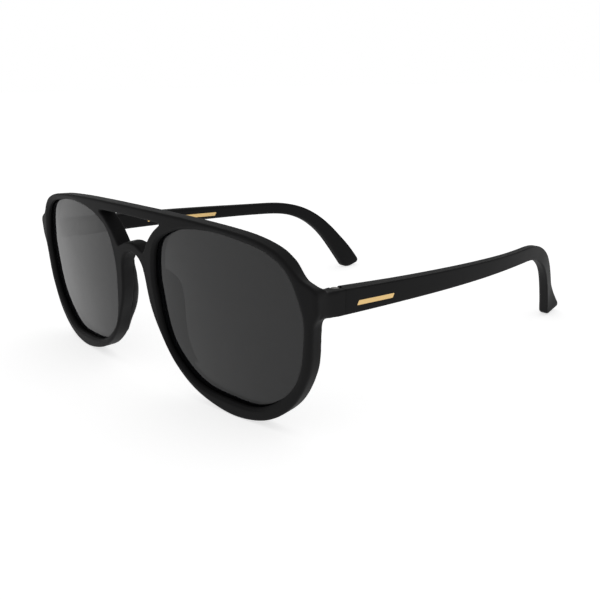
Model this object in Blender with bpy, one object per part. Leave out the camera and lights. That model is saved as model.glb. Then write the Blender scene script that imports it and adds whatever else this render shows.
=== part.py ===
"""Aviator sunglasses with a double bridge, standing on their rims and temple tips with the temples open.

Lengths are in millimetres until a mesh is made. The wearing frame has x across the face (the wearer's
left is +x), y from the front towards the ears, and z up. The empty called stance tips that frame onto
the table.
A place on the front is (u, v, d): across, up, and deep behind the curved front face.
"""

from math import cos, pi, radians, sin, sqrt

import bmesh
import bpy
from mathutils import Vector
from mathutils.geometry import delaunay_2d_cdt

MM = 0.001

# Driving dimensions
LENS_CENTRE = 38.0  # half the distance between the two lens centres
FACE_RADIUS = 394.0  # the front is bent round the face to this radius
FRONT_TILT = radians(5.5)  # the top of the front leans forwards
RIM_DEPTH = 4.8
EDGE_ROUND = 0.7
LENS_RECESS = 1.9  # lens face behind the front face
LENS_THICKNESS = 1.1
LENS_BULGE = 1.0  # the middle of the lens stands this far forward of its edge
GROOVE_DEPTH = 0.8
GROOVE_SLACK = 0.2  # free space on each side of the lens in its groove
HINGE_X = 67.3  # the hinge pins stand just inside the inner faces of the temples
INNER_X = 66.4  # inner faces of end pieces and temples at the seam
HINGE_Y = 16.4
SEAM_GAP = 0.16  # between end piece and temple
PAD_GAP = 0.05  # glue between rim and nose pad
SIDE_TOP = 10.9  # top and bottom of the end pieces
SIDE_BOTTOM = 4.3
SIDE_CORNER = 0.4
TEMPLE_LENGTH = 143.0  # along the temple, from seam to tip
BEND_START = 87.5  # along the temple
BEND_LENGTH = 42.5
BEND_ANGLE = radians(52.0)
HINGE_RADIUS = 1.25
HINGE_BORE = 0.75
HINGE_NOTCH = 1.75  # radius of the hollow for the knuckles in end piece and temple
LEAF_LOW, LEAF_HIGH = 66.5, 67.4  # the metal leaves are sunk in the inner faces, between these distances
FRONT_LEAF = (12.1, 14.6)  # front and back end of each leaf's plate
TEMPLE_LEAF = (18.2, 25.0)
POCKET_ACROSS = (64.0, LEAF_HIGH + 0.3)  # the pockets for the leaves open towards the face
KNUCKLES = ((4.8, 6.4), (6.6, 8.3), (8.5, 10.1))  # bottom and top; the middle one is the temple's
SCREW_RADIUS = 0.42
SCREW_HEAD_RADIUS = 1.15
TIP_ROUND = 2.4
WIRE_SECTION = (1.0, 1.9)
WIRE_SLACK = 0.3
MARK_SUNK = 0.05
MARK_DEPTH = 0.3
MARK_POCKET = 0.6
MARK_SLACK = 0.1
LEFT, RIGHT = 1, -1
SIDES = ((LEFT, "left"), (RIGHT, "right"))
OUTER_MARK = ((20.5, 33.5), (6.3, 7.5))  # along and up the outer face of a temple
INNER_MARK = ((56.0, 80.0), (6.4, 7.8))
INNER_DOT = ((47.6, 48.6), (6.6, 7.6))

# The table under rims and tips
STANCE_TILT = radians(-3.02)
STANCE_SHIFT = Vector((0.0, -74.39, 29.145))

# Outlines on the front, as (u, v). Each is the wearer's left half, and is mirrored.
LENS_OUTLINE = (
    (28.9, 0.0), (27.6, 8.2), (24.4, 14.8), (19.0, 18.6), (11.8, 20.5), (0.0, 21.9), (-12.2, 21.1),
    (-20.6, 18.4), (-25.2, 14.6), (-27.2, 8.0), (-27.1, 0.0), (-23.7, -13.7), (-13.0, -22.7), (0.0, -25.0),
    (13.8, -24.0), (25.4, -14.7),
)
BROW_AND_END = (
    (0.0, 24.9), (9.0, 24.85), (17.5, 24.7), (26.0, 24.45), (34.0, 24.05), (43.0, 23.4), (50.0, 22.6),
    (55.5, 21.4), (60.0, 19.7), (63.2, 17.4), (65.4, 15.3), (67.4, 13.7), (69.6, 12.7), (71.1, 11.7),
    (71.8, 10.3), (71.8, 7.6),
)
RIM_BELOW_END = (
    (71.7, 5.3), (71.1, 3.8), (70.2, 2.0), (69.8, -1.0), (68.4, -10.8), (62.8, -20.6), (54.0, -27.0),
    (43.2, -29.3), (33.0, -28.1), (23.8, -24.7), (16.0, -18.5), (10.3, -10.1), (7.6, -4.0), (6.6, 0.5),
    (6.0, 4.5), (5.0, 8.0), (2.8, 10.2), (0.0, 11.0),
)
RIM_NOSE_SIDE = (  # (-v, u)
    (-6.4, 5.6), (-4.5, 6.0), (-0.5, 6.6), (4.0, 7.6), (10.1, 10.3), (18.5, 16.0), (24.7, 23.8),
)
BRIDGE_GAP = (
    (0.0, 21.95), (6.0, 21.9), (12.0, 21.8), (15.5, 21.65), (16.2, 21.3), (15.6, 20.8), (12.9, 19.0),
    (10.0, 16.3), (8.1, 13.8), (7.3, 12.6), (6.5, 12.1), (4.6, 12.8), (2.6, 13.6), (0.0, 13.9),
)
END_STATIONS = (  # depth, middle across, width, height, middle height
    (0.9, 69.6, 2.4, 6.2, 7.2), (2.2, 70.1, 3.4, 6.5, 7.0), (4.4, 70.3, 3.8, 6.6, 6.8),
)
END_STRAIGHT = 11.6  # the end piece runs straight back from here
PAD_STATIONS = (  # height, crest across, crest depth
    (6.4, 10.0, 5.5), (4.6, 11.6, 6.8), (2.0, 12.4, 7.9), (-1.0, 12.5, 8.3), (-4.0, 12.6, 8.4),
    (-7.0, 12.9, 8.1), (-10.0, 13.6, 7.6), (-13.0, 14.9, 6.9), (-16.0, 17.0, 6.2), (-18.6, 19.4, 5.7),
    (-20.0, 21.0, 5.5),
)

# Tables of (distance from the seam, value) along a temple
TEMPLE_HALF_HEIGHT = (
    (0, 3.3), (20, 3.05), (40, 2.8), (60, 2.55), (80, 2.33), (98, 2.4), (116, 2.75), (126, 3.1),
    (134, 3.6), (143, 4.4),
)
TEMPLE_THICKNESS = ((0, 4.65), (30, 4.2), (70, 3.5), (100, 3.2), (143, 3.1))
TEMPLE_STATIONS = (
    143, 142, 141, 140, 138, 135, 132, 128, 123, 118, 113, 108, 103, 98, 92, 86, 76, 66, 54, 40, 28, 18,
    10, 4, 0,
)
WIRE_STATIONS = (1, 10, 20, 32, 44, 58, 70, 80, 88, 96, 102, 108)


# Points and outlines


def smooth_line(points, steps, closed=False):
    """Points of a Catmull-Rom curve through the given points, with the given steps in each span."""
    count = len(points)
    spans = count if closed else count - 1
    line = []
    for span in range(spans):
        around = [span - 1, span, span + 1, span + 2]
        if closed:
            p0, p1, p2, p3 = (Vector(points[i % count]) for i in around)
        else:
            p0, p1, p2, p3 = (Vector(points[min(max(i, 0), count - 1)]) for i in around)
        for step in range(steps):
            t = step / steps
            line.append(0.5 * (2 * p1 + (p2 - p0) * t + (2 * p0 - 5 * p1 + 4 * p2 - p3) * t**2
                               + (3 * p1 - p0 - 3 * p2 + p3) * t**3))
    if not closed:
        line.append(Vector(points[-1]))
    return line


def both_halves(half):
    """A closed outline from its left half, which starts and ends on the middle plane."""
    return half + [Vector((-p.x, p.y)) for p in reversed(half[1:-1])]


def turns_left(line):
    """Whether a closed outline runs anticlockwise."""
    return sum(a.x * b.y - b.x * a.y for a, b in zip(line, line[1:] + line[:1])) > 0


def offset(line, distances):
    """The closed outline moved towards its own inside, each point by its own distance."""
    sign = 1 if turns_left(line) else -1
    moved = []
    for i, point in enumerate(line):
        along = (line[(i + 1) % len(line)] - line[i - 1]).normalized()
        moved.append(point + sign * distances[i] * Vector((-along.y, along.x)))
    return moved


def inside(point, line):
    """Whether a point lies inside a closed outline."""
    odd = False
    for a, b in zip(line, line[1:] + line[:1]):
        if (a.y > point.y) != (b.y > point.y):
            odd ^= point.x < a.x + (b.x - a.x) * (point.y - a.y) / (b.y - a.y)
    return odd


def ease(value, low, high):
    """0 below low, 1 above high, and a smooth step between."""
    t = min(max((value - low) / (high - low), 0.0), 1.0)
    return t * t * (3 - 2 * t)


def table_value(table, at):
    """The value at a place, read from (place, value) pairs with straight lines between."""
    for (x0, y0), (x1, y1) in zip(table, table[1:]):
        if at <= x1:
            return y0 + (y1 - y0) * (at - x0) / (x1 - x0)
    return table[-1][1]


def on_front(u, v, d):
    """The place in the wearing frame of a place on the front."""
    slope = u / FACE_RADIUS
    length = sqrt(1 + slope * slope)
    x = u - d * slope / length
    y = u * slope / 2 + d / length
    return Vector((x, y * cos(FRONT_TILT) - v * sin(FRONT_TILT), v * cos(FRONT_TILT) + y * sin(FRONT_TILT)))


# Meshes


def make_object(name, mesh_data, material, parent, origin=Vector()):
    """An object from a bmesh in millimetres, with its origin at the given place of the wearing frame."""
    bmesh.ops.remove_doubles(mesh_data, verts=mesh_data.verts, dist=1e-4)
    bmesh.ops.translate(mesh_data, verts=mesh_data.verts, vec=-origin)
    bmesh.ops.scale(mesh_data, verts=mesh_data.verts, vec=(MM, MM, MM))
    bmesh.ops.triangulate(mesh_data, faces=[face for face in mesh_data.faces if len(face.verts) > 4])
    bmesh.ops.recalc_face_normals(mesh_data, faces=mesh_data.faces)
    mesh = bpy.data.meshes.new(name)
    mesh_data.to_mesh(mesh)
    mesh_data.free()
    mesh.shade_smooth()
    mesh.set_sharp_from_angle(angle=radians(35))
    obj = bpy.data.objects.new(name, mesh)
    bpy.context.scene.collection.objects.link(obj)
    obj.data.materials.append(material)
    obj.parent = parent
    obj.location = origin * MM
    return obj


def skin(mesh_data, loops, caps=True):
    """Joins closed loops of equal length by faces, and caps the first and the last."""
    rings = [[mesh_data.verts.new(point) for point in loop] for loop in loops]
    for low, high in zip(rings, rings[1:]):
        for i in range(len(low)):
            j = (i + 1) % len(low)
            mesh_data.faces.new((low[i], low[j], high[j], high[i]))
    if caps:
        mesh_data.faces.new(rings[0])
        mesh_data.faces.new(rings[-1])
    return rings


def rounded_box_section(width, height, corner, steps=3):
    """A rounded rectangle about the origin, as (a, b) pairs."""
    corner = min(corner, 0.49 * width, 0.49 * height)
    section = []
    for quarter in range(4):
        sx = 1 if quarter in (0, 3) else -1
        sy = 1 if quarter in (0, 1) else -1
        for step in range(steps + 1):
            angle = (quarter + step / steps) * pi / 2
            section.append((sx * (width / 2 - corner) + corner * cos(angle),
                            sy * (height / 2 - corner) + corner * sin(angle)))
    return section


def box(low, high):
    mesh_data = bmesh.new()
    bmesh.ops.create_cube(mesh_data, size=1.0)
    for vert in mesh_data.verts:
        vert.co = Vector(low[i] + (vert.co[i] + 0.5) * (high[i] - low[i]) for i in range(3))
    return mesh_data


def upright_rod(x, y, profile, sides=24):
    """A turned solid about an upright axis. The profile is (radius, z) from bottom to top."""
    mesh_data = bmesh.new()
    loops = []
    for radius, z in profile:
        loops.append([(x + radius * cos(2 * pi * i / sides), y + radius * sin(2 * pi * i / sides), z)
                      for i in range(sides)])
    skin(mesh_data, loops)
    return mesh_data


def boolean(obj, tool, operation):
    tool.hide_render = True
    tool.display_type = "WIRE"
    modifier = obj.modifiers.new(operation.lower(), "BOOLEAN")
    modifier.operation = operation
    modifier.object = tool


def material(name, colour, roughness, metallic=0.0, alpha=1.0):
    made = bpy.data.materials.new(name)
    made.use_nodes = True
    shader = made.node_tree.nodes["Principled BSDF"]
    shader.inputs["Base Color"].default_value = (*colour, 1.0)
    shader.inputs["Roughness"].default_value = roughness
    shader.inputs["Metallic"].default_value = metallic
    shader.inputs["Alpha"].default_value = alpha
    return made


# Front


def nasal_draft(u, v):
    """How fast the rim's side wall leans away from the nose, per millimetre of depth."""
    return 0.3 * ease(-abs(u), -19.0, -12.0) * ease(-v, -9.0, -4.0) * ease(v, -19.0, -8.0)


def top_draft(u, v):
    """How fast the top of the brow bar and of the end pieces falls, per millimetre of depth."""
    return 0.09 * ease(v, 12.0, 18.0) + 0.3 * ease(abs(u), 63.0, 68.0) * ease(v, 10.5, 12.5)


def front_plate():
    """The flat-backed front with both rims, brow bar and bridge, bent round the face."""
    outer = both_halves(smooth_line(BROW_AND_END + RIM_BELOW_END, 3))
    gap = both_halves(smooth_line(BRIDGE_GAP, 2))
    opening = smooth_line(LENS_OUTLINE, 3, closed=True)
    r = EDGE_ROUND
    groove_front = LENS_RECESS - GROOVE_SLACK
    groove_back = LENS_RECESS + LENS_THICKNESS + GROOVE_SLACK
    outer_profile = ((r, 0.0), (0.29 * r, 0.29 * r), (0.0, r), (0.0, RIM_DEPTH - r),
                     (0.29 * r, RIM_DEPTH - 0.29 * r), (r, RIM_DEPTH))
    hole_profile = ((-0.5, 0.0), (0.0, 0.5), (0.0, RIM_DEPTH - 0.5), (-0.5, RIM_DEPTH))
    lens_profile = ((-r, 0.0), (-0.29 * r, 0.29 * r), (0.0, r), (0.0, groove_front),
                    (-GROOVE_DEPTH, groove_front), (-GROOVE_DEPTH, groove_back), (0.0, groove_back),
                    (-0.2, RIM_DEPTH))
    outlines = [(outer, outer_profile, True), (gap, hole_profile, False)]
    for side in (LEFT, RIGHT):
        outlines.append(([Vector((side * (LENS_CENTRE + p.x), p.y)) for p in opening], lens_profile, False))
    mesh_data = bmesh.new()
    rims = ([], [])
    for line, profile, drafted in outlines:
        loops = []
        for inset, depth in profile:
            slopes = [nasal_draft(*p) + top_draft(*p) if drafted else 0.0 for p in line]
            flat = offset(line, [inset + slope * depth for slope in slopes])
            loops.append([(p.x, p.y, depth) for p in flat])
        rings = skin(mesh_data, loops, caps=False)
        rims[0].append(rings[0])
        rims[1].append(rings[-1])
    for rings in rims:
        fill(mesh_data, rings)
    for vert in mesh_data.verts:
        vert.co = on_front(*vert.co)
    return mesh_data


def fill(mesh_data, rings):
    """Fills a flat region bounded by its first ring, with the other rings as holes in it."""
    verts = [vert for ring in rings for vert in ring]
    flat = [Vector((vert.co.x, vert.co.y)) for vert in verts]
    edges = []
    outlines = []
    start = 0
    for ring in rings:
        size = len(ring)
        edges += [(start + i, start + (i + 1) % size) for i in range(size)]
        outlines.append(flat[start:start + size])
        start += size
    _, _, faces, came_from, _, _ = delaunay_2d_cdt(flat, edges, [], 0, 1e-6)
    for face in faces:
        corners = [came_from[i][0] for i in face]
        middle = sum((flat[i] for i in corners), Vector((0.0, 0.0))) / 3
        if inside(middle, outlines[0]) and not any(inside(middle, hole) for hole in outlines[1:]):
            mesh_data.faces.new([verts[i] for i in corners])


def end_piece(side):
    """The lug that carries the front towards the temple, as a loft from inside the plate to the seam."""
    mesh_data = bmesh.new()
    loops = []
    for depth, middle_u, width, height, middle_v in END_STATIONS:
        loops.append([on_front(middle_u + a, middle_v + b, depth)
                      for a, b in rounded_box_section(width, height, 0.8)])
    width = temple_outer(HINGE_Y) - INNER_X
    for y in (END_STRAIGHT, HINGE_Y - SEAM_GAP / 2):
        middle = Vector((INNER_X + width / 2, y, (SIDE_TOP + SIDE_BOTTOM) / 2))
        loops.append([middle + Vector((a, 0.0, b))
                      for a, b in rounded_box_section(width, SIDE_TOP - SIDE_BOTTOM, SIDE_CORNER)])
    skin(mesh_data, [[(side * p[0], p[1], p[2]) for p in loop] for loop in loops])
    return mesh_data


def lens(side):
    """A lens with a slight bulge, its edge inside the groove of the rim."""
    outline = smooth_line(LENS_OUTLINE, 3, closed=True)
    overlap = -(GROOVE_DEPTH - GROOVE_SLACK)
    edge = offset(outline, [overlap] * len(outline))
    mesh_data = bmesh.new()
    loops = []
    rings = (0.04, 0.3, 0.55, 0.75, 0.9, 1.0)
    for face, order in ((0.0, rings), (LENS_THICKNESS, rings[::-1])):
        for share in order:
            depth = LENS_RECESS + face - LENS_BULGE * (1 - share * share)
            loops.append([on_front(side * (LENS_CENTRE + share * p.x), share * p.y, depth) for p in edge])
    skin(mesh_data, loops)
    return mesh_data


def nose_pad(side):
    """The pad glued on the nose side of a rim, deepest where it meets the nose."""
    mesh_data = bmesh.new()
    loops = []
    start = RIM_DEPTH + PAD_GAP
    for v, crest, crest_depth in PAD_STATIONS:
        nose_side = table_value(RIM_NOSE_SIDE, -v) + nasal_draft(10.0, v) * start + 0.1
        lens_side = max(nose_side + 2.4, crest - 1.0)
        loop = ((nose_side, start), (nose_side + 0.25 * (crest - nose_side), 0.5 * (start + crest_depth)),
                (crest - 0.2, crest_depth - 0.25), (crest + 0.4, crest_depth),
                (crest + 0.9, crest_depth - 0.25),
                (lens_side + 0.3, 0.5 * (start + crest_depth)), (lens_side, start))
        loops.append([on_front(side * u, v, d) for u, d in loop])
    skin(mesh_data, loops)
    return mesh_data


# Temples


def temple_outer(y):
    """How far the outer face of a temple is from the middle plane."""
    q = y / 100
    flare = 0.6 * ease(y, 118.0, 132.0) + 0.035 * max(y - 143.0, 0.0) ** 2
    return 70.1 + 6.4 * q - 2.5 * q * q - 6.6 * q**3 + flare


def temple_path():
    """(y, z, heading) at each millimetre along the middle of a temple, which bends down behind the ear."""
    places = []
    y = HINGE_Y + SEAM_GAP / 2
    z = (SIDE_TOP + SIDE_BOTTOM) / 2
    for distance in range(round(TEMPLE_LENGTH) + 1):
        heading = BEND_ANGLE * ease(distance, BEND_START, BEND_START + BEND_LENGTH)
        places.append((y, z, heading))
        y += cos(heading)
        z -= sin(heading)
    return places


def temple_section(distance, half, thick, corner):
    """A rounded section of a temple at a distance along it, on the wearer's left."""
    y, z, heading = temple_path()[distance]
    middle = table_value(TEMPLE_THICKNESS, distance) / 2
    loop = []
    for a, b in rounded_box_section(thick, 2 * half, corner):
        across = temple_outer(y + b * sin(heading)) - middle + a
        loop.append(Vector((across, y + b * sin(heading), z + b * cos(heading))))
    return loop


def temple(side):
    """A temple with a channel for its wire, as one surface from the tip round the front end and inside."""
    loops = []
    for distance in TEMPLE_STATIONS:
        half = table_value(TEMPLE_HALF_HEIGHT, distance)
        thick = table_value(TEMPLE_THICKNESS, distance)
        left = TEMPLE_LENGTH - distance
        if left < TIP_ROUND:
            shrink = sqrt(1 - (1 - left / TIP_ROUND) ** 2)
            half -= TIP_ROUND * (1 - shrink)
            thick *= 0.6 + 0.4 * shrink
        loops.append(temple_section(distance, half, thick, 0.8))
    loops += wire_loops(WIRE_SLACK, (0,) + WIRE_STATIONS[1:-1] + (WIRE_STATIONS[-1] + 1,))
    mesh_data = bmesh.new()
    skin(mesh_data, [[(side * p.x, p.y, p.z) for p in loop] for loop in loops])
    return mesh_data


def wire_loops(slack, distances):
    width, height = WIRE_SECTION
    return [temple_section(distance, height / 2 + slack, width + 2 * slack, 0.3) for distance in distances]


def core_wire(side):
    """The flat wire inside a temple, which keeps the ear bend in shape."""
    mesh_data = bmesh.new()
    loops = wire_loops(0.0, WIRE_STATIONS)
    skin(mesh_data, [[(side * p.x, p.y, p.z) for p in loop] for loop in loops])
    return mesh_data


def face_slab(side, ends, heights, depths, inner=False, slant=0.5):
    """A slab that follows the outer or inner face of a temple, with slanted ends."""
    mesh_data = bmesh.new()
    loops = []
    for step in range(9):
        y = ends[0] + (ends[1] - ends[0]) * step / 8
        loop = []
        low, high = heights
        near, deep = depths
        for z, depth in ((low, near), (high, near), (high, deep), (low, deep)):
            along = y + slant * (z - low)
            face = temple_outer(along)
            if inner:
                face -= table_value(TEMPLE_THICKNESS, along - HINGE_Y)
            loop.append((side * (face + depth if inner else face - depth), along, z))
        loops.append(loop)
    skin(mesh_data, loops)
    return mesh_data


# Hinges


def leaf(side, name, plate, webs, knuckles, material, parent, origin):
    """A hinge leaf: a plate, the webs to its knuckles and the bored knuckles, as one piece."""
    body = make_object(name, box(*plate_corners(side, *plate)), material, parent, origin)
    tools = [box(*plate_corners(side, *web)) for web in webs]
    tools += [upright_rod(side * HINGE_X, HINGE_Y, ((HINGE_RADIUS, low), (HINGE_RADIUS, high)), 20)
              for low, high in knuckles]
    for i, tool in enumerate(tools):
        boolean(body, make_object(f"{name}_part_{i}", tool, material, parent), "UNION")
    profile = ((HINGE_BORE, SIDE_BOTTOM - 1), (HINGE_BORE, SIDE_TOP + 1))
    bore = upright_rod(side * HINGE_X, HINGE_Y, profile, 16)
    boolean(body, make_object(name + "_bore", bore, material, parent), "DIFFERENCE")
    return body


def plate_corners(side, ends, heights, across=(LEAF_LOW, LEAF_HIGH)):
    """The two corners of a box beside the hinge, given for the wearer's left."""
    xs = sorted((side * across[0], side * across[1]))
    return (xs[0], ends[0], heights[0]), (xs[1], ends[1], heights[1])


def hinge_screw(side):
    """The screw that holds the knuckles together: a turned shaft and a low head."""
    foot = KNUCKLES[0][0]
    head = KNUCKLES[2][1] + 0.08
    profile = ((0.2, foot - 0.1), (SCREW_RADIUS, foot + 0.1), (SCREW_RADIUS, head),
               (SCREW_HEAD_RADIUS, head), (SCREW_HEAD_RADIUS, head + 0.35),
               (SCREW_HEAD_RADIUS - 0.25, head + 0.55))
    return upright_rod(side * HINGE_X, HINGE_Y, profile, 20)


def add_front(stance, plastic, glass, metal):
    front = make_object("front_frame", front_plate(), plastic, stance)
    for side, word in SIDES:
        boolean(front, make_object(word + "_end_piece_guide", end_piece(side), plastic, stance), "UNION")
    pocket_heights = (KNUCKLES[0][0] - 0.15, KNUCKLES[2][1] + 0.15)
    for side, word in SIDES:
        pocket = box(*plate_corners(side, (FRONT_LEAF[0] - 0.2, HINGE_Y), pocket_heights, POCKET_ACROSS))
        boolean(front, make_object(word + "_front_leaf_pocket", pocket, plastic, stance), "DIFFERENCE")
        boolean(front, make_object(word + "_front_notch", hinge_notch(side), plastic, stance), "DIFFERENCE")
        make_object(word + "_lens", lens(side), glass, stance)
        make_object(word + "_nose_pad", nose_pad(side), plastic, stance)
        outer_knuckles = (KNUCKLES[0], KNUCKLES[2])
        webs = [((FRONT_LEAF[1] - 0.3, HINGE_Y), heights) for heights in outer_knuckles]
        plate = (FRONT_LEAF, (KNUCKLES[0][0] + 0.2, KNUCKLES[2][1] - 0.3))
        leaf(side, word + "_front_hinge_leaf", plate, webs, outer_knuckles, metal, stance, Vector())
        make_object(word + "_hinge_screw", hinge_screw(side), metal, stance)


def hinge_notch(side):
    """The hollow round the knuckles."""
    profile = ((HINGE_NOTCH, SIDE_BOTTOM - 1), (HINGE_NOTCH, SIDE_TOP + 1))
    return upright_rod(side * HINGE_X, HINGE_Y, profile, 28)


def add_temple(side, word, stance, plastic, metal, gold):
    pivot = Vector((side * HINGE_X, HINGE_Y, 0.0))
    arm = make_object(word + "_temple", temple(side), plastic, stance, pivot)
    boolean(arm, make_object(word + "_temple_notch", hinge_notch(side), plastic, stance), "DIFFERENCE")
    pocket_heights = (KNUCKLES[0][0] + 0.3, KNUCKLES[2][1] - 0.3)
    pocket = box(*plate_corners(side, (HINGE_Y, TEMPLE_LEAF[1] + 0.3), pocket_heights, POCKET_ACROSS))
    boolean(arm, make_object(word + "_temple_leaf_pocket", pocket, plastic, stance), "DIFFERENCE")
    plate = (TEMPLE_LEAF, (KNUCKLES[0][0] + 0.6, KNUCKLES[2][1] - 0.6))
    webs = [((HINGE_Y, TEMPLE_LEAF[0] + 0.2), KNUCKLES[1])]
    leaf(side, word + "_temple_hinge_leaf", plate, webs, [KNUCKLES[1]], metal, stance, pivot)
    make_object(word + "_temple_core_wire", core_wire(side), metal, stance, pivot)
    marks = [(word + "_temple_outer_mark", OUTER_MARK, False)]
    if side == RIGHT:
        marks.append((word + "_temple_inner_mark", INNER_MARK, True))
        marks.append((word + "_temple_inner_dot", INNER_DOT, True))
    for name, (ends, heights), inner in marks:
        slab = face_slab(side, ends, heights, (MARK_SUNK, MARK_SUNK + MARK_DEPTH), inner)
        make_object(name, slab, gold, stance, pivot)
        wider = (ends[0] - MARK_SLACK, ends[1] + MARK_SLACK)
        taller = (heights[0] - MARK_SLACK, heights[1] + MARK_SLACK)
        cut = face_slab(side, wider, taller, (-1.0, MARK_POCKET), inner)
        boolean(arm, make_object(name + "_pocket", cut, plastic, stance), "DIFFERENCE")


def main():
    for old in list(bpy.data.objects):
        bpy.data.objects.remove(old)
    stance = bpy.data.objects.new("stance", None)
    bpy.context.scene.collection.objects.link(stance)
    stance.rotation_euler.x = STANCE_TILT
    stance.location = STANCE_SHIFT * MM
    plastic = material("matt_black_plastic", (0.012, 0.012, 0.013), 0.5)
    glass = material("grey_lens", (0.03, 0.03, 0.033), 0.05, alpha=0.8)
    metal = material("nickel_silver", (0.62, 0.6, 0.56), 0.3, metallic=1.0)
    gold = material("gold_foil", (0.75, 0.52, 0.22), 0.35, metallic=1.0)
    add_front(stance, plastic, glass, metal)
    for side, word in SIDES:
        add_temple(side, word, stance, plastic, metal, gold)


main()
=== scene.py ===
"""Looks of the aviator sunglasses: front, lenses, pads, temples, hinges and marks in place of the CAD's.

Lengths are in millimetres until a mesh is finished. The wearing frame has x across the face, with the
wearer's left at +x, y from the front towards the ears, and z up. The stance tips it onto the table.
A place on the front is (u, v, d): across, up, and deep behind the curved front face.
"""

from math import cos, pi, radians, sin, sqrt

import bmesh
import bpy
from mathutils import Matrix, Vector
from mathutils.geometry import delaunay_2d_cdt

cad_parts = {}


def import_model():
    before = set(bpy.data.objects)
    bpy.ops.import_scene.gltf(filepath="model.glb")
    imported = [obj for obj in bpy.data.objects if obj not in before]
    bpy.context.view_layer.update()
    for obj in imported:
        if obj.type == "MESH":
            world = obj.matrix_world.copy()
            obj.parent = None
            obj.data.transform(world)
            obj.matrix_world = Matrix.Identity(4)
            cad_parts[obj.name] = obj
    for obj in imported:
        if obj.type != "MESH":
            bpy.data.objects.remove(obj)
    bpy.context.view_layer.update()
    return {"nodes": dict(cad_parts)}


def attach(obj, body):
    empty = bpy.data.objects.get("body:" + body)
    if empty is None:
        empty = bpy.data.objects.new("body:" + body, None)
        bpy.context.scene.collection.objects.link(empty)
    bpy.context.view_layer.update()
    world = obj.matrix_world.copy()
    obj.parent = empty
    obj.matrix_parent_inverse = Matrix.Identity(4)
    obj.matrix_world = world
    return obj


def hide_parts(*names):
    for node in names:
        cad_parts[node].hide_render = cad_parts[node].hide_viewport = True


MM = 0.001

# Driving dimensions, the same as the CAD part's
LENS_CENTRE = 38.0
FACE_RADIUS = 394.0
FRONT_TILT = radians(5.5)
RIM_DEPTH = 4.8
LENS_RECESS = 1.9
LENS_THICKNESS = 1.1
LENS_BULGE = 1.0
GROOVE_DEPTH = 0.8
HINGE_X = 67.3
INNER_X = 66.4
HINGE_Y = 16.4
PAD_GAP = 0.05
SIDE_TOP = 10.9
SIDE_BOTTOM = 4.3
TEMPLE_LENGTH = 143.0
BEND_START = 87.5
BEND_LENGTH = 42.5
BEND_ANGLE = radians(52.0)
HINGE_RADIUS = 1.25
HINGE_BORE = 0.75
HINGE_NOTCH = 1.75
LEAF_LOW, LEAF_HIGH = 66.5, 67.4
FRONT_LEAF = (12.1, 14.6)
TEMPLE_LEAF = (18.2, 25.0)
POCKET_ACROSS = (64.0, LEAF_HIGH + 0.3)
KNUCKLES = ((4.8, 6.4), (6.6, 8.3), (8.5, 10.1))
SCREW_RADIUS = 0.42
SCREW_HEAD_RADIUS = 1.15
TIP_ROUND = 2.4
EDGE_ROUND = 0.7
WIRE_SECTION = (1.0, 1.9)
WIRE_SLACK = 0.3
OUTER_MARK = ((20.5, 33.5), (6.3, 7.5))
INNER_MARK = ((56.0, 80.0), (6.4, 7.8))
INNER_DOT = ((47.6, 48.6), (6.6, 7.6))
STANCE = Matrix.Translation(Vector((0.0, -74.39, 29.145))) @ Matrix.Rotation(radians(-3.02), 4, "X")

# Other values than the CAD part's: a tighter seam, a looser groove, closer marks, and blunter, longer tips
SEAM_GAP = 0.07
GROOVE_SLACK = 0.25
LENS_EDGE_GAP = 0.3
MARK_SLACK = 0.06
MARK_POCKET = 0.45
MARK_FACE, MARK_BACK = 0.04, 0.34  # depths of the foil's two faces
HEEL_ROUND = 1.3  # the back corner of the tip is tighter than the front one
TIP_LEAN = 0.4  # how far the end of the tip is turned towards level
TIP_LEAN_LENGTH = 10.0
TIP_PIVOT = 2.3  # the turn is about a line this far in front of the middle
TIP_END_SHARE = 0.6  # how thick the very end is, beside 1 before its rounding

# Fine shape that only the looks have
LENS_RINGS = 14
LENS_CORE = 0.03  # the innermost ring, as a share of the outline
LENS_BORDER = (0.96, 0.985)  # more rings before the bevel
BEVEL_START = 0.9915
LENS_BEVEL = 0.12
LIP_WIDTH, LIP_DEPTH = 0.62, 0.65  # the chamfer round the front of each lens opening, beside the nose
LIP_GROWTH = 0.5  # how much wider it gets towards the temples
BACK_LIP = 0.12
BACK_ROUND = 0.3
GAP_ROUND = 0.5
BLEND_VOXEL = 0.22
BLEND_ROUNDS = 3
LUG_ROUNDS = 40  # the end pieces grow out of the rims with a soft fillet
SIDE_ROUND = 0.45  # corner of the sides at the seam
INNER_ROUND = 1.1  # inner corners of a temple further back
PAD_FOOT = 2.4  # least width of a pad where it meets the rim
TIP_STEPS = 10
SEAM_CHAMFER = 0.1
WIRE_END = 109

# Light
FLOOR_SHADE = 0.75
FLOOR_GLOW = 0.68
CEILING = 0.4  # how bright the room is overhead, beside 1 at the walls
SUN_ENERGY = 0.35
SUN_WIDTH = radians(80.0)

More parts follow.
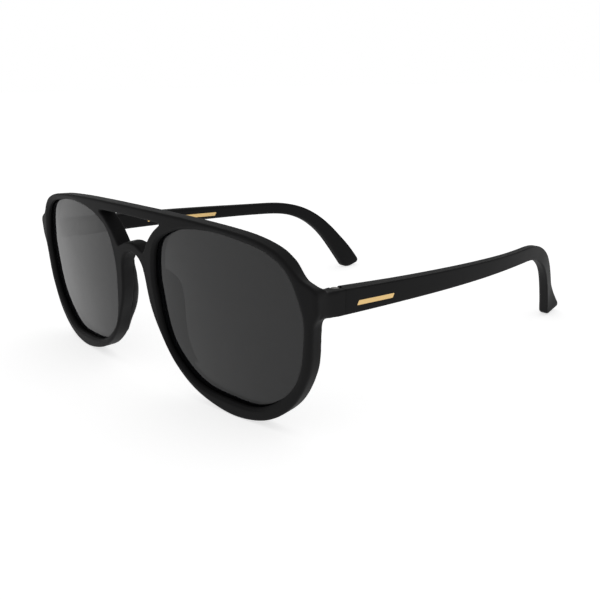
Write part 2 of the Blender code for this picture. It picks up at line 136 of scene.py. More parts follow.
LENS_OUTLINE = (
    (28.9, 0.0), (27.6, 8.2), (24.4, 14.8), (19.0, 18.6), (11.8, 20.5), (0.0, 21.9), (-12.2, 21.1),
    (-20.6, 18.4), (-25.2, 14.6), (-27.2, 8.0), (-27.1, 0.0), (-23.7, -13.7), (-13.0, -22.7), (0.0, -25.0),
    (13.8, -24.0), (25.4, -14.7),
)
BROW_AND_END = (
    (0.0, 24.9), (9.0, 24.85), (17.5, 24.7), (26.0, 24.45), (34.0, 24.05), (43.0, 23.4), (50.0, 22.6),
    (55.5, 21.4), (60.0, 19.7), (63.2, 17.4), (65.4, 15.3), (67.4, 13.7), (69.6, 12.7), (71.1, 11.7),
    (71.8, 10.3), (71.8, 7.6),
)
RIM_BELOW_END = (
    (71.7, 5.3), (71.1, 3.8), (70.2, 2.0), (69.8, -1.0), (68.4, -10.8), (62.8, -20.6), (54.0, -27.0),
    (43.2, -29.3), (33.0, -28.1), (23.8, -24.7), (16.0, -18.5), (10.3, -10.1), (7.6, -4.0), (6.6, 0.5),
    (6.0, 4.5), (5.0, 8.0), (2.8, 10.2), (0.0, 11.0),
)
RIM_NOSE_SIDE = (  # (-v, u)
    (-6.4, 5.6), (-4.5, 6.0), (-0.5, 6.6), (4.0, 7.6), (10.1, 10.3), (18.5, 16.0), (24.7, 23.8),
)
BRIDGE_GAP = (
    (0.0, 21.95), (6.0, 21.9), (12.0, 21.8), (15.5, 21.65), (16.2, 21.3), (15.6, 20.8), (12.9, 19.0),
    (10.0, 16.3), (8.1, 13.8), (7.3, 12.6), (6.5, 12.1), (4.6, 12.8), (2.6, 13.6), (0.0, 13.9),
)
END_STATIONS = (  # depth, middle across, width, height, middle height. The last is narrower than the CAD's
    (0.9, 69.6, 2.4, 6.2, 7.2), (2.2, 70.1, 3.4, 6.5, 7.0), (4.4, 70.1, 3.6, 6.6, 6.8),
)
END_STRAIGHT = 11.6
PAD_STATIONS = (  # height, crest across, crest depth
    (6.4, 10.0, 5.5), (4.6, 11.6, 6.8), (2.0, 12.4, 7.9), (-1.0, 12.5, 8.3), (-4.0, 12.6, 8.4),
    (-7.0, 12.9, 8.1), (-10.0, 13.6, 7.6), (-13.0, 14.9, 6.9), (-16.0, 17.0, 6.2), (-18.6, 19.4, 5.7),
    (-20.0, 21.0, 5.5),
)
TEMPLE_HALF_HEIGHT = (
    (0, 3.3), (20, 3.05), (40, 2.8), (60, 2.55), (80, 2.33), (98, 2.4), (116, 2.75), (126, 3.1),
    (134, 3.6), (143, 4.4),
)
# Thicker towards the tip than the CAD's
TEMPLE_THICKNESS = ((0, 4.65), (30, 4.2), (70, 3.5), (100, 3.25), (122, 3.6), (143, 3.9))

# Camera, in the wearing frame
CAMERA_AZIMUTH = radians(46.828)
CAMERA_HEIGHT_ANGLE = radians(14.647)
CAMERA_ROLL = radians(1.289)
CAMERA_DISTANCE = 181.57
CAMERA_TARGET = Vector((72.18, 0.0, 11.19))
CAMERA_LENS = 47.43


# Points and outlines


def smooth_line(points, steps, closed=False):
    """Points of a Catmull-Rom curve through the given points, with the given steps in each span."""
    count = len(points)
    spans = count if closed else count - 1
    line = []
    for span in range(spans):
        around = [span - 1, span, span + 1, span + 2]
        if closed:
            p0, p1, p2, p3 = (Vector(points[i % count]) for i in around)
        else:
            p0, p1, p2, p3 = (Vector(points[min(max(i, 0), count - 1)]) for i in around)
        for step in range(steps):
            t = step / steps
            line.append(0.5 * (2 * p1 + (p2 - p0) * t + (2 * p0 - 5 * p1 + 4 * p2 - p3) * t**2
                               + (3 * p1 - p0 - 3 * p2 + p3) * t**3))
    if not closed:
        line.append(Vector(points[-1]))
    return line


def both_halves(half):
    """A closed outline from its left half, which starts and ends on the middle plane."""
    return half + [Vector((-p.x, p.y)) for p in reversed(half[1:-1])]


def turns_left(line):
    return sum(a.x * b.y - b.x * a.y for a, b in zip(line, line[1:] + line[:1])) > 0


def offset(line, distances):
    """The closed outline moved towards its own inside, each point by its own distance."""
    sign = 1 if turns_left(line) else -1
    moved = []
    for i, point in enumerate(line):
        along = (line[(i + 1) % len(line)] - line[i - 1]).normalized()
        moved.append(point + sign * distances[i] * Vector((-along.y, along.x)))
    return moved


def inside(point, line):
    odd = False
    for a, b in zip(line, line[1:] + line[:1]):
        if (a.y > point.y) != (b.y > point.y):
            odd ^= point.x < a.x + (b.x - a.x) * (point.y - a.y) / (b.y - a.y)
    return odd


def ease(value, low, high):
    """0 below low, 1 above high, and a smooth step between."""
    t = min(max((value - low) / (high - low), 0.0), 1.0)
    return t * t * (3 - 2 * t)


def table_value(table, at):
    """The value at a place, read from (place, value) pairs with straight lines between."""
    for (x0, y0), (x1, y1) in zip(table, table[1:]):
        if at <= x1:
            return y0 + (y1 - y0) * (at - x0) / (x1 - x0)
    return table[-1][1]


def smooth_table(points, steps):
    """A table with soft turns: points of a curve through a coarse one."""
    return [(p.x, p.y) for p in smooth_line(points, steps)]


def on_front(u, v, d):
    """The place in the wearing frame of a place on the front."""
    slope = u / FACE_RADIUS
    length = sqrt(1 + slope * slope)
    x = u - d * slope / length
    y = u * slope / 2 + d / length
    return Vector((x, y * cos(FRONT_TILT) - v * sin(FRONT_TILT),
                   v * cos(FRONT_TILT) + y * sin(FRONT_TILT)))


def quarter(radius, steps=5):
    """(along, deep) places from a face round an edge to the wall, for a rounded edge."""
    angles = [0.5 * pi * i / steps for i in range(steps + 1)]
    return [(radius * (1 - sin(a)), radius * (1 - cos(a))) for a in angles]


# Meshes


def skin(mesh_data, loops, caps=True):
    """Joins loops of equal length, one after another, into a surface, and returns its rings of vertices."""
    rings = [[mesh_data.verts.new(point) for point in loop] for loop in loops]
    for low, high in zip(rings, rings[1:]):
        for i in range(len(low)):
            j = (i + 1) % len(low)
            mesh_data.faces.new((low[i], low[j], high[j], high[i]))
    if caps:
        mesh_data.faces.new(rings[0])
        mesh_data.faces.new(rings[-1])
    return rings


def solid(name, mesh_data):
    """A helper object in millimetres."""
    bmesh.ops.remove_doubles(mesh_data, verts=mesh_data.verts, dist=1e-4)
    bmesh.ops.recalc_face_normals(mesh_data, faces=mesh_data.faces)
    mesh = bpy.data.meshes.new(name)
    mesh_data.to_mesh(mesh)
    mesh_data.free()
    obj = bpy.data.objects.new(name, mesh)
    bpy.context.scene.collection.objects.link(obj)
    return obj


def boolean(obj, tool, operation):
    modifier = obj.modifiers.new(operation.lower(), "BOOLEAN")
    modifier.operation = operation
    modifier.solver = "EXACT"
    modifier.object = tool


def bake(obj):
    """Applies the modifiers, and removes the helpers that they used."""
    tools = {m.object for m in obj.modifiers if m.type == "BOOLEAN"}
    bpy.context.view_layer.update()
    graph = bpy.context.evaluated_depsgraph_get()
    mesh = bpy.data.meshes.new_from_object(obj.evaluated_get(graph))
    obj.modifiers.clear()
    obj.data = mesh
    for tool in tools:
        bpy.data.objects.remove(tool)
    return obj


def finished(obj, name, material, body, node, sharp=40.0):
    """Brings a helper into metres and the table's frame, and puts it in the place of its CAD node."""
    bake(obj)
    obj.name = name
    mesh = obj.data
    mesh.name = name
    mesh.transform(Matrix.Scale(MM, 4) @ STANCE)
    mesh.materials.clear()
    mesh.materials.append(material)
    mesh.shade_smooth()
    if sharp:
        mesh.set_sharp_from_angle(angle=radians(sharp))
        modifier = obj.modifiers.new("flat_faces_stay_flat", "WEIGHTED_NORMAL")
        modifier.keep_sharp = True
    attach(obj, body)
    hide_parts(node)
    return obj


def rounded_section(width, height, corners, steps=6):
    """A rectangle about the origin with its own radius at each corner, as (a, b) pairs."""
    section = []
    limit = 0.49 * min(width, height)
    for i, (sx, sy) in enumerate(((1, 1), (-1, 1), (-1, -1), (1, -1))):
        corner = min(corners[i], limit)
        for step in range(steps + 1):
            angle = (i + step / steps) * pi / 2
            section.append((sx * (width / 2 - corner) + corner * cos(angle),
                            sy * (height / 2 - corner) + corner * sin(angle)))
    return section


def box(low, high):
    mesh_data = bmesh.new()
    bmesh.ops.create_cube(mesh_data, size=1.0)
    for vert in mesh_data.verts:
        vert.co = Vector(low[i] + (vert.co[i] + 0.5) * (high[i] - low[i]) for i in range(3))
    return mesh_data


def upright_rod(x, y, profile, sides=64):
    """A turned solid about an upright axis. The profile is (radius, z) from bottom to top."""
    mesh_data = bmesh.new()
    loops = []
    for radius, z in profile:
        loops.append([(x + radius * cos(2 * pi * i / sides), y + radius * sin(2 * pi * i / sides), z)
                      for i in range(sides)])
    skin(mesh_data, loops)
    return mesh_data


def mirrored(side, loops):
    return [[(side * p[0], p[1], p[2]) for p in loop] for loop in loops]


# Front


def nasal_draft(u, v):
    """How fast the rim's side wall leans away from the nose, per millimetre of depth."""
    return 0.3 * ease(-abs(u), -19.0, -12.0) * ease(-v, -9.0, -4.0) * ease(v, -19.0, -8.0)


def top_draft(u, v):
    """How fast the top of the brow bar and of the end pieces falls, per millimetre of depth."""
    return 0.09 * ease(v, 12.0, 18.0) + 0.3 * ease(abs(u), 63.0, 68.0) * ease(v, 10.5, 12.5)


def front_plate():
    """The front with both rims, brow bar and bridge, bent round the face."""
    outer = both_halves(smooth_line(BROW_AND_END + RIM_BELOW_END, 3))
    gap = both_halves(smooth_line(BRIDGE_GAP, 2))
    opening = smooth_line(LENS_OUTLINE, 3, closed=True)
    back = RIM_DEPTH
    outer_profile = quarter(EDGE_ROUND) + [(a, back - d) for a, d in reversed(quarter(BACK_ROUND))]
    gap_round = quarter(GAP_ROUND)
    gap_profile = [(-a, d) for a, d in gap_round] + [(-a, back - d) for a, d in reversed(gap_round)]
    groove_front = LENS_RECESS - GROOVE_SLACK
    groove_back = LENS_RECESS + LENS_THICKNESS + GROOVE_SLACK
    lens_profile = [(-LIP_WIDTH - 0.08, 0.0), (-LIP_WIDTH, 0.04), (-0.06, LIP_DEPTH - 0.06),
                    (0.0, LIP_DEPTH + 0.06)]
    lens_profile += [(0.0, groove_front), (-GROOVE_DEPTH, groove_front), (-GROOVE_DEPTH, groove_back),
                     (0.0, groove_back), (0.0, back - BACK_LIP), (-BACK_LIP, back)]
    outlines = [(outer, outer_profile, True), (gap, gap_profile, False)]
    for side in (1, -1):
        placed = [Vector((side * (LENS_CENTRE + p.x), p.y)) for p in opening]
        outlines.append((placed, lens_profile, False))
    mesh_data = bmesh.new()
    rims = ([], [])
    for line, profile, drafted in outlines:
        loops = []
        for inset, depth in profile:
            if drafted:
                insets = [inset + (nasal_draft(*p) + top_draft(*p)) * depth for p in line]
            elif depth < LIP_DEPTH and profile is lens_profile:
                growth = [LIP_GROWTH * ease(abs(p.x) - LENS_CENTRE, -14.0, 0.0) for p in line]
                insets = [inset * (1 + more) for more in growth]
            else:
                insets = [inset] * len(line)
            flat = offset(line, insets)
            loops.append([(p.x, p.y, depth) for p in smooth_line(flat, 4, closed=True)])
        rings = skin(mesh_data, loops, caps=False)
        rims[0].append(rings[0])
        rims[1].append(rings[-1])
    for rings in rims:
        fill(mesh_data, rings)
    for vert in mesh_data.verts:
        vert.co = on_front(*vert.co)
    return mesh_data


def fill(mesh_data, rings):
    """Fills a flat region bounded by its first ring, with the other rings as holes in it."""
    verts = [vert for ring in rings for vert in ring]
    flat = [Vector((vert.co.x, vert.co.y)) for vert in verts]
    edges = []
    outlines = []
    start = 0
    for ring in rings:
        size = len(ring)
        edges += [(start + i, start + (i + 1) % size) for i in range(size)]
        outlines.append(flat[start:start + size])
        start += size
    _, _, faces, came_from, _, _ = delaunay_2d_cdt(flat, edges, [], 0, 1e-6)
    for face in faces:
        corners = [came_from[i][0] for i in face]
        middle = sum((flat[i] for i in corners), Vector((0.0, 0.0))) / 3
        if inside(middle, outlines[0]) and not any(inside(middle, hole) for hole in outlines[1:]):
            mesh_data.faces.new([verts[i] for i in corners])


def end_piece(side):
    """The lug that carries the front towards the temple, as a loft from inside the plate to the seam."""
    loops = []
    for depth, middle_u, width, height, middle_v in END_STATIONS:
        loops.append([on_front(middle_u + a, middle_v + b, depth)
                      for a, b in rounded_section(width, height, (0.8,) * 4)])
    width = temple_outer(HINGE_Y) - INNER_X
    for y in (END_STRAIGHT, HINGE_Y + 1.5):
        middle = Vector((INNER_X + width / 2, y, (SIDE_TOP + SIDE_BOTTOM) / 2))
        loops.append([middle + Vector((a, 0.0, b))
                      for a, b in rounded_section(width, SIDE_TOP - SIDE_BOTTOM, (0.3,) * 4)])
    mesh_data = bmesh.new()
    skin(mesh_data, mirrored(side, loops))
    return mesh_data


def fine_front(plastic):
    front = solid("front_plate", front_plate())
    for side in (1, -1):
        boolean(front, solid("lug", end_piece(side)), "UNION")
    bake(front)
    blend = front.modifiers.new("blend", "REMESH")
    blend.mode = "VOXEL"
    blend.voxel_size = BLEND_VOXEL
    bake(front)
    lug = front.vertex_groups.new(name="lug")
    for vert in front.data.vertices:
        share = ease(abs(vert.co.x), 63.0, 67.0) * ease(-vert.co.y, -14.5, -12.5)
        if share > 0:
            lug.add([vert.index], share, "REPLACE")
    for rounds, region in ((BLEND_ROUNDS, ""), (LUG_ROUNDS, "lug")):
        soften = front.modifiers.new("soften", "SMOOTH")
        soften.factor = 0.5
        soften.iterations = rounds
        soften.vertex_group = region
    bake(front)
    pocket_heights = (KNUCKLES[0][0] - 0.15, KNUCKLES[2][1] + 0.15)
    trim = box((-80.0, HINGE_Y - SEAM_GAP / 2, -5.0), (80.0, HINGE_Y + 5.0, 20.0))
    boolean(front, solid("trim", trim), "DIFFERENCE")
    for side in (1, -1):
        pocket = box(*plate_corners(side, (FRONT_LEAF[0] - 0.2, HINGE_Y), pocket_heights, POCKET_ACROSS))
        boolean(front, solid("pocket", pocket), "DIFFERENCE")
        boolean(front, solid("notch", hinge_notch(side)), "DIFFERENCE")
    finished(front, "front_moulding", plastic, "front", "front_frame", sharp=0)
    front.data.set_sharp_from_angle(angle=radians(50))


def fine_lens(side, word, glass):
    """A lens with a slight bulge and a bevelled border, its edge inside the groove of the rim."""
    outline = smooth_line(LENS_OUTLINE, 12, closed=True)
    flat = offset(outline, [-(GROOVE_DEPTH - LENS_EDGE_GAP)] * len(outline))
    shares = [LENS_CORE] + [i / LENS_RINGS for i in range(1, LENS_RINGS)] + list(LENS_BORDER)
    front = [(share, -LENS_BULGE * (1 - share * share)) for share in shares]
    front += [(BEVEL_START, -LENS_BULGE * (1 - BEVEL_START**2) + LENS_BEVEL), (1.0, LENS_BEVEL)]
    back = [(share, LENS_THICKNESS - LENS_BULGE * (1 - share * share)) for share in [1.0] + shares[::-1]]
    loops = []
    for share, depth in front + back:
        loops.append([on_front(side * (LENS_CENTRE + share * p.x), share * p.y, LENS_RECESS + depth)
                      for p in flat])
    mesh_data = bmesh.new()
    skin(mesh_data, loops)
    lens = solid("lens", mesh_data)
    finished(lens, word + "_tinted_lens", glass, "front", word + "_lens", sharp=12.0)


def fine_pad(side, word, plastic):
    """The pad glued on the nose side of a rim, deepest where it meets the nose."""
    start = RIM_DEPTH + PAD_GAP
    loops = []
    for station in smooth_line(PAD_STATIONS, 6):
        v, crest, crest_depth = station
        nose_side = table_value(RIM_NOSE_SIDE, -v) + nasal_draft(10.0, v) * start + 0.1
        lens_side = max(nose_side + PAD_FOOT, crest - 1.0)
        middle = 0.5 * (start + crest_depth)
        arch = [(nose_side, start), (nose_side + 0.22 * (crest - nose_side), middle),
                (crest - 0.6, crest_depth - 0.3), (crest + 0.4, crest_depth),
                (crest + 1.0, crest_depth - 0.25), (lens_side + 0.35, middle), (lens_side, start)]
        loops.append([on_front(side * p.x, v, p.y) for p in smooth_line(arch, 5)])
    mesh_data = bmesh.new()
    skin(mesh_data, loops)
    pad = solid("pad", mesh_data)
    finished(pad, word + "_pad", plastic, "front", word + "_nose_pad")


# Temples


def temple_outer(y):
    """How far the outer face of a temple is from the middle plane."""
    q = y / 100
    flare = 0.6 * ease(y, 118.0, 132.0) + 0.035 * max(y - 143.0, 0.0) ** 2
    return 70.1 + 6.4 * q - 2.5 * q * q - 6.6 * q**3 + flare


def temple_path():
    """(y, z, heading) at each millimetre along the middle of a temple, which bends down behind the ear."""
    places = []
    y = HINGE_Y + SEAM_GAP / 2
    z = (SIDE_TOP + SIDE_BOTTOM) / 2
    for distance in range(round(TEMPLE_LENGTH) + 2):
        heading = BEND_ANGLE * ease(distance, BEND_START, BEND_START + BEND_LENGTH)
        places.append((y, z, heading))
        y += cos(heading)
        z -= sin(heading)
    return places


PATH = temple_path()
HALF_HEIGHT = smooth_table(TEMPLE_HALF_HEIGHT, 6)
THICKNESS = smooth_table(TEMPLE_THICKNESS, 6)


def temple_section(distance, half, thick, corners, steps=6, shift=0.0):
    """A rounded section of a temple at a distance along it, on the wearer's left."""
    whole = min(int(distance), len(PATH) - 2)
    part = distance - whole
    y, z, heading = (a + (b - a) * part for a, b in zip(PATH[whole], PATH[whole + 1]))
    middle = table_value(THICKNESS, distance) / 2
    lean = TIP_LEAN * ease(distance, TEMPLE_LENGTH - TIP_LEAN_LENGTH, TEMPLE_LENGTH)
    loop = []
    for a, b in rounded_section(thick, 2 * half, corners, steps):
        b += shift
        further = lean * (b + TIP_PIVOT)
        along_y = y + b * sin(heading) + further * cos(heading)
        up = z + b * cos(heading) - further * sin(heading)
        across = temple_outer(y + b * sin(heading)) - middle + a
        loop.append(Vector((across, along_y, up)))
    return loop


def temple_skin(side):
    """A temple with a channel for its wire, as one surface from the tip round the front end and inside."""
    straight = TEMPLE_LENGTH - TIP_ROUND
    angles = [0.5 * pi * i / TIP_STEPS for i in range(TIP_STEPS)]
    distances = [TEMPLE_LENGTH - TIP_ROUND * (1 - cos(angle)) for angle in angles]
    distances += [straight - i for i in range(int(straight))] + [0.15, 0.0]
    loops = []
    for distance in distances:
        half = table_value(HALF_HEIGHT, distance)
        thick = table_value(THICKNESS, distance)
        left = TEMPLE_LENGTH - distance
        shift = 0.0
        back = ease(distance, 0.0, 25.0)
        inner_round = SIDE_ROUND + (INNER_ROUND - SIDE_ROUND) * back
        if left < TIP_ROUND:
            shrink = sqrt(max(1 - (1 - left / TIP_ROUND) ** 2, 0.0))
            half -= 0.5 * (TIP_ROUND + HEEL_ROUND) * (1 - shrink)
            shift = 0.5 * (TIP_ROUND - HEEL_ROUND) * (1 - shrink)
            thick *= TIP_END_SHARE + (1 - TIP_END_SHARE) * shrink
        if distance < 0.1:
            half -= SEAM_CHAMFER
            thick -= 2 * SEAM_CHAMFER
        corners = (SIDE_ROUND, inner_round, inner_round, SIDE_ROUND + 0.2 * back)
        loops.append(temple_section(distance, half, thick, corners, shift=shift))
    width, height = WIRE_SECTION
    for distance in [0.0] + [float(i) for i in range(2, WIRE_END + 1, 3)]:
        half = height / 2 + WIRE_SLACK
        loops.append(temple_section(distance, half, width + 2 * WIRE_SLACK, (0.3,) * 4))
    mesh_data = bmesh.new()
    skin(mesh_data, mirrored(side, loops))
    return mesh_data


def face_slab(side, ends, heights, depths, inner=False, slant=0.5, corner=0.0):
    """A slab that follows the outer or inner face of a temple, with slanted and rounded ends."""
    low, high = heights
    near, deep = depths
    count = 40
    loops = []
    for step in range(count + 1):
        share = 0.5 - 0.5 * cos(pi * step / count)
        y = ends[0] + (ends[1] - ends[0]) * share
        pull = 0.0
        if corner:
            to_end = min(y - ends[0], ends[1] - y)
            pull = corner - sqrt(max(corner**2 - max(corner - to_end, 0.0) ** 2, 0.0))
        loop = []
        for z, depth in ((low + pull, near), (high - pull, near), (high - pull, deep), (low + pull, deep)):
            along = y + slant * (z - low)
            face = temple_outer(along)
            if inner:
                face -= table_value(THICKNESS, along - HINGE_Y)
            loop.append((face + depth if inner else face - depth, along, z))
        loops.append(loop)
    mesh_data = bmesh.new()
    skin(mesh_data, mirrored(side, loops))
    return mesh_data


def fine_temple(side, word, plastic, gold):
    body = word + "_side"
    arm = solid("temple", temple_skin(side))
    boolean(arm, solid("notch", hinge_notch(side)), "DIFFERENCE")
    pocket_heights = (KNUCKLES[0][0] + 0.3, KNUCKLES[2][1] - 0.3)
    pocket = box(*plate_corners(side, (HINGE_Y, TEMPLE_LEAF[1] + 0.3), pocket_heights, POCKET_ACROSS))
    boolean(arm, solid("pocket", pocket), "DIFFERENCE")
    marks = [(word + "_temple_outer_mark", OUTER_MARK, False, 0.25)]
    if side < 0:
        marks.append((word + "_temple_inner_mark", INNER_MARK, True, 0.25))
        marks.append((word + "_temple_inner_dot", INNER_DOT, True, 0.45))
    for node, (ends, heights), inner, corner in marks:
        wider = (ends[0] - MARK_SLACK, ends[1] + MARK_SLACK)
        taller = (heights[0] - MARK_SLACK, heights[1] + MARK_SLACK)
        cut = face_slab(side, wider, taller, (-1.0, MARK_POCKET), inner, corner=corner)
        boolean(arm, solid("mark_pocket", cut), "DIFFERENCE")
        slab = solid("mark", face_slab(side, ends, heights, (MARK_FACE, MARK_BACK), inner, corner=corner))
        finished(slab, node.replace("_temple", "") + "_foil", gold, body, node)
    finished(arm, word + "_temple_moulding", plastic, body, word + "_temple")


# Hinges


def plate_corners(side, ends, heights, across=(LEAF_LOW, LEAF_HIGH)):
    """The two corners of a box beside the hinge, given for the wearer's left."""
    xs = sorted((side * across[0], side * across[1]))
    return (xs[0], ends[0], heights[0]), (xs[1], ends[1], heights[1])


def hinge_notch(side):
    profile = ((HINGE_NOTCH, SIDE_BOTTOM - 1), (HINGE_NOTCH, SIDE_TOP + 1))
    return upright_rod(side * HINGE_X, HINGE_Y, profile)


def knuckle(side, low, high):
    edge = 0.12
    profile = ((HINGE_RADIUS - edge, low), (HINGE_RADIUS, low + edge), (HINGE_RADIUS, high - edge),
               (HINGE_RADIUS - edge, high))
    return upright_rod(side * HINGE_X, HINGE_Y, profile)


def fine_leaf(side, node, body, plate, webs, knuckles, metal):
    """A hinge leaf: a plate, the webs to its knuckles and the bored knuckles, as one piece."""
    leaf = solid("leaf", box(*plate_corners(side, *plate)))
    for web in webs:
        boolean(leaf, solid("web", box(*plate_corners(side, *web))), "UNION")
    for low, high in knuckles:
        boolean(leaf, solid("knuckle", knuckle(side, low, high)), "UNION")
    bore_profile = ((HINGE_BORE, SIDE_BOTTOM - 1), (HINGE_BORE, SIDE_TOP + 1))
    bore = upright_rod(side * HINGE_X, HINGE_Y, bore_profile)
    boolean(leaf, solid("bore", bore), "DIFFERENCE")
    finished(leaf, node.replace("_hinge_leaf", "_leaf"), metal, body, node)


def fine_screw(side, word, metal):
    """The screw that holds the knuckles together, with a slot across its low head."""
    foot = KNUCKLES[0][0]
    head = KNUCKLES[2][1] + 0.08
    top = head + 0.55
    profile = ((0.2, foot - 0.1), (SCREW_RADIUS, foot + 0.1), (SCREW_RADIUS, head),
               (SCREW_HEAD_RADIUS - 0.05, head), (SCREW_HEAD_RADIUS, head + 0.06),
               (SCREW_HEAD_RADIUS, head + 0.33), (SCREW_HEAD_RADIUS - 0.08, head + 0.45),
               (SCREW_HEAD_RADIUS - 0.3, head + 0.53), (0.3, top))
    screw = solid("screw", upright_rod(side * HINGE_X, HINGE_Y, profile))
    slot = box((-2.0, -0.14, top - 0.25), (2.0, 0.14, top + 1.0))
    turn = Matrix.Translation((side * HINGE_X, HINGE_Y, 0.0)) @ Matrix.Rotation(radians(35.0), 4, "Z")
    bmesh.ops.transform(slot, matrix=turn, verts=slot.verts)
    boolean(screw, solid("slot", slot), "DIFFERENCE")
    finished(screw, word + "_slotted_screw", metal, "front", word + "_hinge_screw")


def fine_hinges(side, word, metal):
    outer_knuckles = (KNUCKLES[0], KNUCKLES[2])
    plate = (FRONT_LEAF, (KNUCKLES[0][0] + 0.2, KNUCKLES[2][1] - 0.3))
    webs = [((FRONT_LEAF[1] - 0.3, HINGE_Y), heights) for heights in outer_knuckles]
    fine_leaf(side, word + "_front_hinge_leaf", "front", plate, webs, outer_knuckles, metal)
    plate = (TEMPLE_LEAF, (KNUCKLES[0][0] + 0.6, KNUCKLES[2][1] - 0.6))
    webs = [((HINGE_Y, TEMPLE_LEAF[0] + 0.2), KNUCKLES[1])]
    fine_leaf(side, word + "_temple_hinge_leaf", word + "_side", plate, webs, [KNUCKLES[1]], metal)
    fine_screw(side, word, metal)


# Materials


def node_in(tree, kind, **inputs):
    made = tree.nodes.new(kind)
    for name, value in inputs.items():
        made.inputs[name.replace("_", " ")].default_value = value
    return made


def surface(name, colour, roughness, grain_size, grain_depth, spread=0.12, blotch=0.02, **sockets):
    """A material whose roughness and colour drift from place to place, with a fine grain in its relief."""
    made = bpy.data.materials.new(name)
    made.use_nodes = True
    tree = made.node_tree
    link = tree.links.new
    shader = tree.nodes["Principled BSDF"]
    for socket, value in sockets.items():
        shader.inputs[socket.replace("_", " ")].default_value = value
    place = tree.nodes.new("ShaderNodeTexCoord")
    drift = node_in(tree, "ShaderNodeTexNoise", Scale=1 / blotch, Detail=4.0, Roughness=0.6)
    grain = node_in(tree, "ShaderNodeTexNoise", Scale=1 / grain_size, Detail=3.0, Roughness=0.55)
    link(place.outputs["Object"], drift.inputs["Vector"])
    link(place.outputs["Object"], grain.inputs["Vector"])
    shade = tree.nodes.new("ShaderNodeMix")
    shade.data_type = "RGBA"
    dark = [channel * (1 - spread) for channel in colour]
    light = [channel * (1 + spread) for channel in colour]
    shade.inputs["A"].default_value = (*dark, 1.0)
    shade.inputs["B"].default_value = (*light, 1.0)
    link(drift.outputs["Fac"], shade.inputs["Factor"])
    link(shade.outputs["Result"], shader.inputs["Base Color"])
    polish = tree.nodes.new("ShaderNodeMapRange")
    polish.inputs["From Min"].default_value = 0.3
    polish.inputs["From Max"].default_value = 0.7
    polish.inputs["To Min"].default_value = roughness * (1 - spread)
    polish.inputs["To Max"].default_value = roughness * (1 + spread)
    both = tree.nodes.new("ShaderNodeMath")
    both.operation = "ADD"
    half = tree.nodes.new("ShaderNodeMath")
    half.operation = "MULTIPLY"
    half.inputs[1].default_value = 0.5
    link(drift.outputs["Fac"], both.inputs[0])
    link(grain.outputs["Fac"], both.inputs[1])
    link(both.outputs["Value"], half.inputs[0])
    link(half.outputs["Value"], polish.inputs["Value"])
    link(polish.outputs["Result"], shader.inputs["Roughness"])
    if grain_depth:
        relief = tree.nodes.new("ShaderNodeBump")
        relief.inputs["Strength"].default_value = 1.0
        relief.inputs["Distance"].default_value = grain_depth
        link(grain.outputs["Fac"], relief.inputs["Height"])
        link(relief.outputs["Normal"], shader.inputs["Normal"])
    return made


# Stage, light and camera


def studio():
    floor_mesh = bmesh.new()
    bmesh.ops.create_circle(floor_mesh, cap_ends=True, segments=96, radius=3.0)
    mesh = bpy.data.meshes.new("floor")
    floor_mesh.to_mesh(mesh)
    floor_mesh.free()
    floor = bpy.data.objects.new("floor", mesh)
    bpy.context.scene.collection.objects.link(floor)
    pale = bpy.data.materials.new("pale_floor")
    pale.use_nodes = True
    shader = pale.node_tree.nodes["Principled BSDF"]
    shader.inputs["Base Color"].default_value = (FLOOR_SHADE, FLOOR_SHADE, FLOOR_SHADE, 1.0)
    shader.inputs["Roughness"].default_value = 0.9
    shader.inputs["Specular IOR Level"].default_value = 0.0
    shader.inputs["Emission Color"].default_value = (1.0, 1.0, 1.0, 1.0)
    shader.inputs["Emission Strength"].default_value = FLOOR_GLOW
    mesh.materials.append(pale)
    world = bpy.data.worlds.new("studio")
    world.use_nodes = True
    tree = world.node_tree
    direction = tree.nodes.new("ShaderNodeTexCoord")
    split = tree.nodes.new("ShaderNodeSeparateXYZ")
    height = tree.nodes.new("ShaderNodeMapRange")
    height.inputs["From Min"].default_value = 0.1
    height.inputs["From Max"].default_value = 0.2
    height.inputs["To Min"].default_value = 1.0
    height.inputs["To Max"].default_value = CEILING
    tree.links.new(direction.outputs["Generated"], split.inputs["Vector"])
    tree.links.new(split.outputs["Z"], height.inputs["Value"])
    tree.links.new(height.outputs["Result"], tree.nodes["Background"].inputs["Strength"])
    tree.nodes["Background"].inputs["Color"].default_value = (1.0, 1.0, 1.0, 1.0)
    bpy.context.scene.world = world
    overhead = bpy.data.lights.new("overhead", "SUN")
    overhead.energy = SUN_ENERGY
    overhead.angle = SUN_WIDTH
    lamp = bpy.data.objects.new("overhead", overhead)
    bpy.context.scene.collection.objects.link(lamp)
    lamp.rotation_euler = (radians(-12.0), radians(-8.0), 0.0)


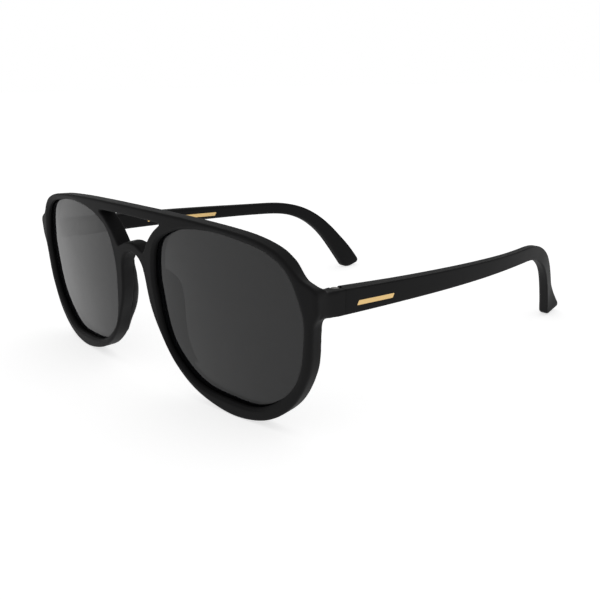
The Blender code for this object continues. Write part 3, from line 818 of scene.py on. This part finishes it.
def add_camera():
    across = Vector((cos(CAMERA_AZIMUTH), sin(CAMERA_AZIMUTH), 0.0))
    level = cos(CAMERA_HEIGHT_ANGLE)
    back = Vector((sin(CAMERA_AZIMUTH) * level, -cos(CAMERA_AZIMUTH) * level, sin(CAMERA_HEIGHT_ANGLE)))
    up = back.cross(across)
    turned_across = cos(CAMERA_ROLL) * across + sin(CAMERA_ROLL) * up
    turned_up = cos(CAMERA_ROLL) * up - sin(CAMERA_ROLL) * across
    place = CAMERA_TARGET + CAMERA_DISTANCE * back
    pose = Matrix((turned_across, turned_up, back)).transposed().to_4x4()
    data = bpy.data.cameras.new("camera")
    data.lens = CAMERA_LENS
    data.clip_start = 0.01
    camera = bpy.data.objects.new("camera", data)
    bpy.context.scene.collection.objects.link(camera)
    in_table_frame = STANCE @ Matrix.Translation(place) @ pose
    in_table_frame.translation *= MM
    camera.matrix_world = in_table_frame
    bpy.context.scene.camera = camera


def main():
    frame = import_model()
    plastic = surface("matt_black_plastic", (0.0115, 0.0115, 0.0118), roughness=0.5, grain_size=0.00016,
                      grain_depth=0.0000035, Specular_IOR_Level=0.04)
    glass = surface("grey_lens", (0.0024, 0.0026, 0.003), roughness=0.012, grain_size=0.03,
                    grain_depth=0.0, spread=0.08, Alpha=0.875, IOR=1.35)
    metal = surface("nickel_silver", (0.4, 0.39, 0.37), roughness=0.38, grain_size=0.0002,
                    grain_depth=0.000004, Metallic=1.0)
    wire = surface("steel_wire", (0.5, 0.5, 0.5), roughness=0.35, grain_size=0.0003,
                   grain_depth=0.000005, Metallic=1.0)
    gold = surface("gold_foil", (0.72, 0.5, 0.22), roughness=0.34, grain_size=0.00012,
                   grain_depth=0.000006, Metallic=1.0)
    fine_front(plastic)
    for side, word in ((1, "left"), (-1, "right")):
        fine_lens(side, word, glass)
        fine_pad(side, word, plastic)
        fine_temple(side, word, plastic, gold)
        fine_hinges(side, word, metal)
        wire_node = frame["nodes"][word + "_temple_core_wire"]
        wire_node.data.materials.clear()
        wire_node.data.materials.append(wire)
    studio()
    add_camera()
    bpy.context.scene.view_settings.view_transform = "Standard"


main()
